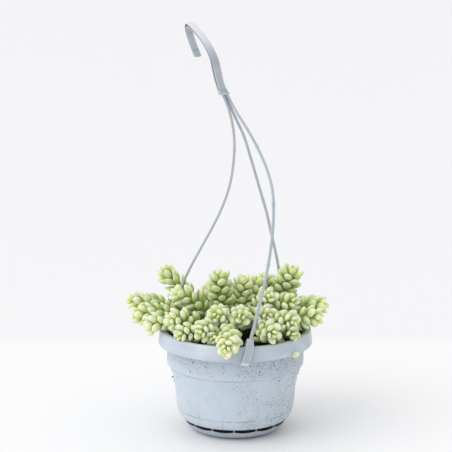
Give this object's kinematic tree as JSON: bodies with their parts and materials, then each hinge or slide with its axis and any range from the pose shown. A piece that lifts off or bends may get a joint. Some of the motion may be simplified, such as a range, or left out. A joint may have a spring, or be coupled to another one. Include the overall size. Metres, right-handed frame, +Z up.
{
  "type": "potted burro's tail plant",
  "caption": "Burro's tail succulent with beaded leafy stems in a round plastic hanging pot with a clipped saucer, strap hanger and hook.",
  "frame": {"origin": "centre of the saucer's flat underside", "axes": "+Z up along the pot's axis, -Y towards the front of the plant, +X to the right"},
  "size_m": [0.1992, 0.1915, 0.3991],
  "materials": {
    "pot_plastic": "satin, lightly dusty",
    "hanger_plastic": "satin",
    "leaf": "matte with a pale waxy bloom",
    "soil": "rough and crumbly"
  },
  "bodies": {
    "root": {"pot": "pot_plastic", "saucer": "pot_plastic", "hanger_hook": "hanger_plastic", "strap_front": "hanger_plastic", "strap_back_right": "hanger_plastic", "strap_back_left": "hanger_plastic", "tail_01": "leaf", "tail_02": "leaf", "tail_03": "leaf", "tail_04": "leaf", "tail_05": "leaf", "tail_06": "leaf", "tail_07": "leaf", "tail_08": "leaf", "tail_09": "leaf", "tail_10": "leaf", "tail_11": "leaf", "tail_12": "leaf", "tail_13": "leaf", "tail_14": "leaf", "tail_15": "leaf", "tail_16": "leaf", "tail_17": "leaf", "tail_18": "leaf", "tail_19": "leaf", "tail_20": "leaf", "tail_21": "leaf", "tail_22": "leaf", "tail_23": "leaf", "tail_24": "leaf", "tail_25": "leaf", "tail_26": "leaf", "tail_27": "leaf", "tail_28": "leaf", "tail_29": "leaf", "tail_30": "leaf", "tail_31": "leaf", "tail_32": "leaf", "tail_33": "leaf", "soil": "soil"}
  },
  "joints": []
}
